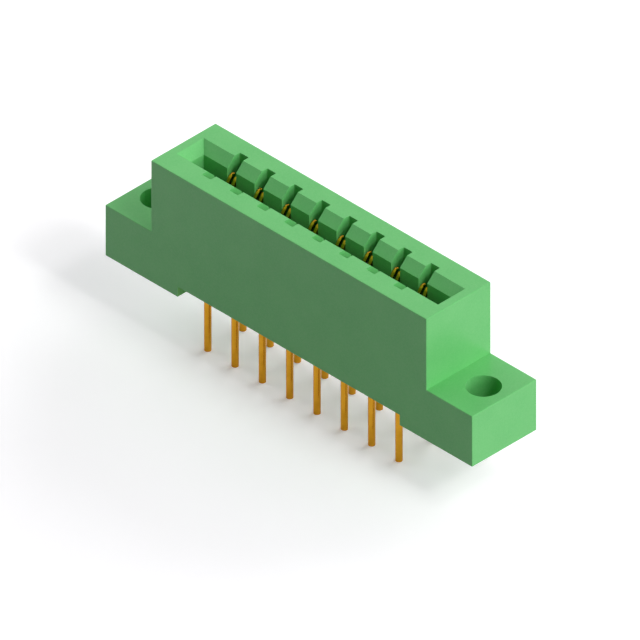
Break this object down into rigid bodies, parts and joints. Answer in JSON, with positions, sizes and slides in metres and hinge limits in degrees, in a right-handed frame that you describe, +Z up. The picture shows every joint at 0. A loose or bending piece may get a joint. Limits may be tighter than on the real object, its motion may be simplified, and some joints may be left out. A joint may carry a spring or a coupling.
{
  "type": "card edge connector",
  "caption": "Green moulded card edge connector: a slotted body between flanges with mounting holes, and rows of gold sprung contacts with straight solder tails.",
  "frame": {"origin": "midway between the two mounting holes, on the plane of the feet that rests on the board", "axes": "+X along the card slot towards position 8, +Y from the front row to the back row, +Z up out of the card slot"},
  "size_m": [0.0532, 0.0094, 0.0218],
  "materials": {
    "insulator": "smooth moulded green thermoplastic, slightly glossy",
    "contact": "gold plated copper alloy"
  },
  "bodies": {
    "root": {"housing": "insulator", "contact_front_1": "contact", "contact_front_2": "contact", "contact_front_3": "contact", "contact_front_4": "contact", "contact_front_5": "contact", "contact_front_6": "contact", "contact_front_7": "contact", "contact_front_8": "contact", "contact_back_1": "contact", "contact_back_2": "contact", "contact_back_3": "contact", "contact_back_4": "contact", "contact_back_5": "contact", "contact_back_6": "contact", "contact_back_7": "contact", "contact_back_8": "contact"}
  },
  "joints": []
}
